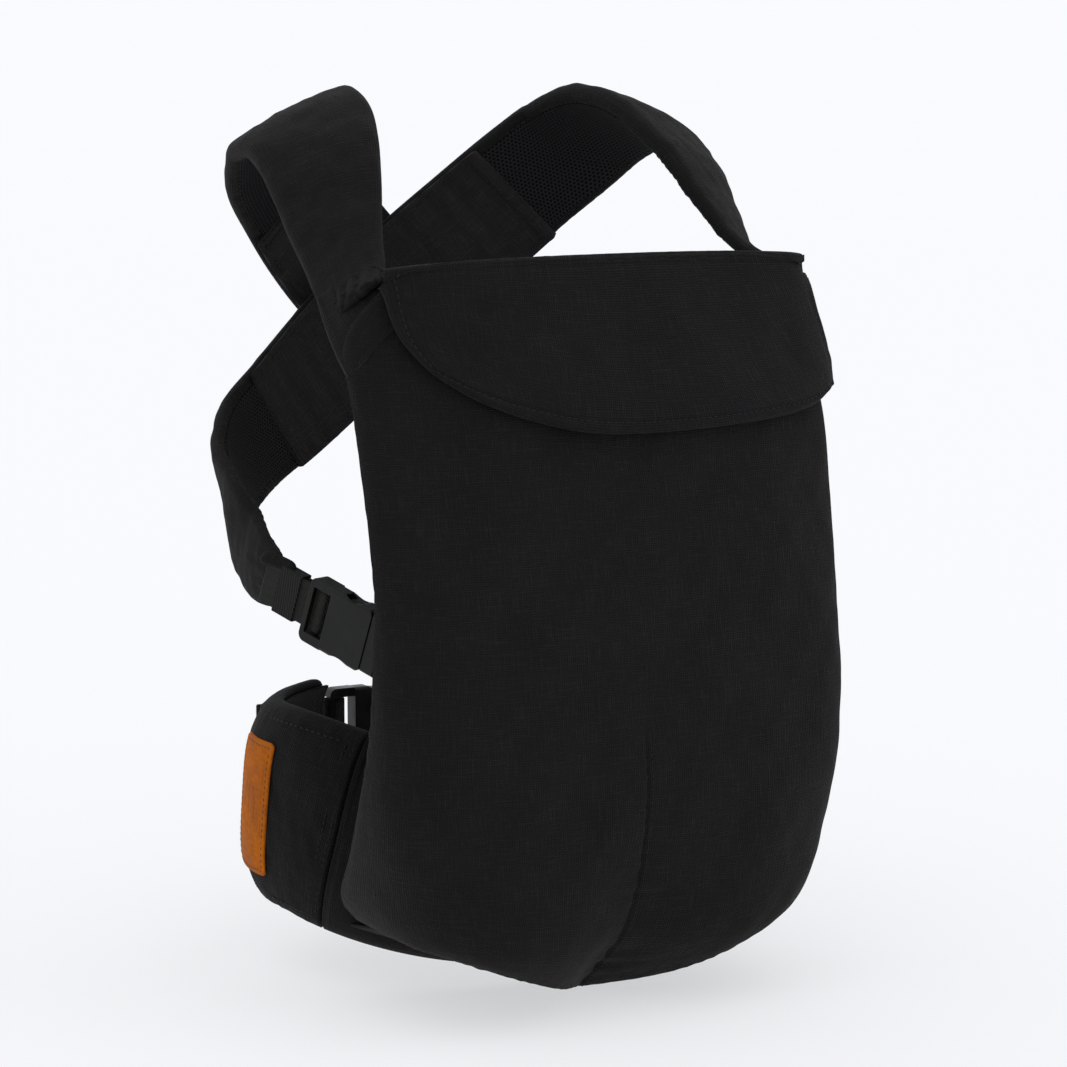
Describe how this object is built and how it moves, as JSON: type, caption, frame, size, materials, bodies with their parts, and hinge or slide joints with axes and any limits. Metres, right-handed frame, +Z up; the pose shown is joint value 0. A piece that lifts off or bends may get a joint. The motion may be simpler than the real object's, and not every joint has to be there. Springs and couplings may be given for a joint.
{
  "type": "soft baby carrier",
  "caption": "Buckled soft baby carrier: padded front panel with fold-down headrest, padded waist belt and crossed padded shoulder straps with side-release buckles.",
  "frame": {"origin": "on the wearer's upright axis, at mid height of the waist belt, in the middle of the waist opening", "axes": "+Z up; the panel faces -Y, away from the wearer; +X is the wearer's left"},
  "size_m": [0.3224, 0.3222, 0.5094],
  "materials": {
    "linen": "slub linen weave, warm black",
    "lining": "plain cotton weave, black",
    "foam": "closed-cell foam, dark grey",
    "air_mesh": "3-D spacer mesh with round holes, black",
    "leather": "vegetable-tanned cowhide, tan",
    "buckle_nylon": "moulded acetal, satin black",
    "webbing": "woven polypropylene webbing, black",
    "elastic": "ribbed elastic, black"
  },
  "bodies": {
    "root": {"belt_cover_left": "linen", "belt_cover_right": "linen", "belt_foam_left": "foam", "belt_foam_right": "foam", "belt_front_cover": "linen", "belt_mesh_left": "air_mesh", "belt_mesh_right": "air_mesh", "leather_patch": "leather", "panel_lining": "lining", "panel_padding": "foam", "panel_shell": "linen", "seat_floor": "linen", "shoulder_left_plug": "buckle_nylon", "shoulder_left_tab": "webbing", "shoulder_left_webbing": "webbing", "shoulder_right_plug": "buckle_nylon", "shoulder_right_tab": "webbing", "shoulder_right_webbing": "webbing", "strap_cover_left": "linen", "strap_cover_right": "linen", "strap_foam_left": "foam", "strap_foam_right": "foam", "strap_mesh_left": "air_mesh", "strap_mesh_right": "air_mesh", "strap_sleeve_left": "linen", "strap_sleeve_right": "linen", "waist_plug": "buckle_nylon", "waist_tab": "webbing", "waist_webbing": "webbing"},
    "headrest": {"headrest_cover": "linen", "headrest_padding": "foam"},
    "shoulder_left_receiver": {"shoulder_left_receiver": "buckle_nylon"},
    "shoulder_left_prong_upper": {"shoulder_left_prong_upper": "buckle_nylon"},
    "shoulder_left_prong_lower": {"shoulder_left_prong_lower": "buckle_nylon"},
    "shoulder_left_keeper": {"shoulder_left_keeper": "elastic"},
    "shoulder_right_receiver": {"shoulder_right_receiver": "buckle_nylon"},
    "shoulder_right_prong_upper": {"shoulder_right_prong_upper": "buckle_nylon"},
    "shoulder_right_prong_lower": {"shoulder_right_prong_lower": "buckle_nylon"},
    "shoulder_right_keeper": {"shoulder_right_keeper": "elastic"},
    "waist_receiver": {"waist_receiver": "buckle_nylon"},
    "waist_prong_upper": {"waist_prong_upper": "buckle_nylon"},
    "waist_prong_lower": {"waist_prong_lower": "buckle_nylon"}
  },
  "joints": [
    {"name": "headrest_fold", "type": "hinge", "parent": "root", "child": "headrest", "pos_m": [0, -0.166, 0.3125], "axis": [-1, 0, 0], "range_deg": [0, 165]},
    {"name": "shoulder_left_release", "type": "slide", "parent": "root", "child": "shoulder_left_receiver", "axis": [-0.3505, 0.8801, 0.3201], "range_m": [0, 0.022], "deforming": ["shoulder_left_prong_upper", "shoulder_left_prong_lower", "shoulder_left_webbing", "shoulder_left_keeper"]},
    {"name": "shoulder_left_prong_upper_squeeze", "type": "hinge", "parent": "root", "child": "shoulder_left_prong_upper", "pos_m": [-0.12932, -0.15091, 0.11818], "axis": [-0.929, -0.37, 0], "range_deg": [0, 8], "stiffness_Nm_per_rad": 1},
    {"name": "shoulder_left_prong_lower_squeeze", "type": "hinge", "parent": "root", "child": "shoulder_left_prong_lower", "pos_m": [-0.13184, -0.14458, 0.098], "axis": [0.929, 0.37, 0], "range_deg": [0, 8], "stiffness_Nm_per_rad": 1},
    {"name": "shoulder_left_keeper_slide", "type": "slide", "parent": "shoulder_left_receiver", "child": "shoulder_left_keeper", "axis": [0.3505, -0.8801, -0.3201], "range_m": [0, 0.005]},
    {"name": "shoulder_right_release", "type": "slide", "parent": "root", "child": "shoulder_right_receiver", "axis": [0.3505, 0.8801, 0.3201], "range_m": [0, 0.022], "deforming": ["shoulder_right_prong_upper", "shoulder_right_prong_lower", "shoulder_right_webbing", "shoulder_right_keeper"]},
    {"name": "shoulder_right_prong_upper_squeeze", "type": "hinge", "parent": "root", "child": "shoulder_right_prong_upper", "pos_m": [0.13184, -0.14458, 0.098], "axis": [0.929, -0.37, 0], "range_deg": [0, 8], "stiffness_Nm_per_rad": 1},
    {"name": "shoulder_right_prong_lower_squeeze", "type": "hinge", "parent": "root", "child": "shoulder_right_prong_lower", "pos_m": [0.12932, -0.15091, 0.11818], "axis": [-0.929, 0.37, 0], "range_deg": [0, 8], "stiffness_Nm_per_rad": 1},
    {"name": "shoulder_right_keeper_slide", "type": "slide", "parent": "shoulder_right_receiver", "child": "shoulder_right_keeper", "axis": [-0.3505, -0.8801, -0.3201], "range_m": [0, 0.005]},
    {"name": "waist_release", "type": "slide", "parent": "root", "child": "waist_receiver", "axis": [-1, 0, 0], "range_m": [0, 0.03], "deforming": ["waist_prong_upper", "waist_prong_lower", "waist_webbing"]},
    {"name": "waist_prong_upper_squeeze", "type": "hinge", "parent": "root", "child": "waist_prong_upper", "pos_m": [0.0136, 0.09, 0.02915], "axis": [0, -1, 0], "range_deg": [0, 8], "stiffness_Nm_per_rad": 1},
    {"name": "waist_prong_lower_squeeze", "type": "hinge", "parent": "root", "child": "waist_prong_lower", "pos_m": [0.0136, 0.09, -0.00515], "axis": [0, 1, 0], "range_deg": [0, 8], "stiffness_Nm_per_rad": 1}
  ]
}
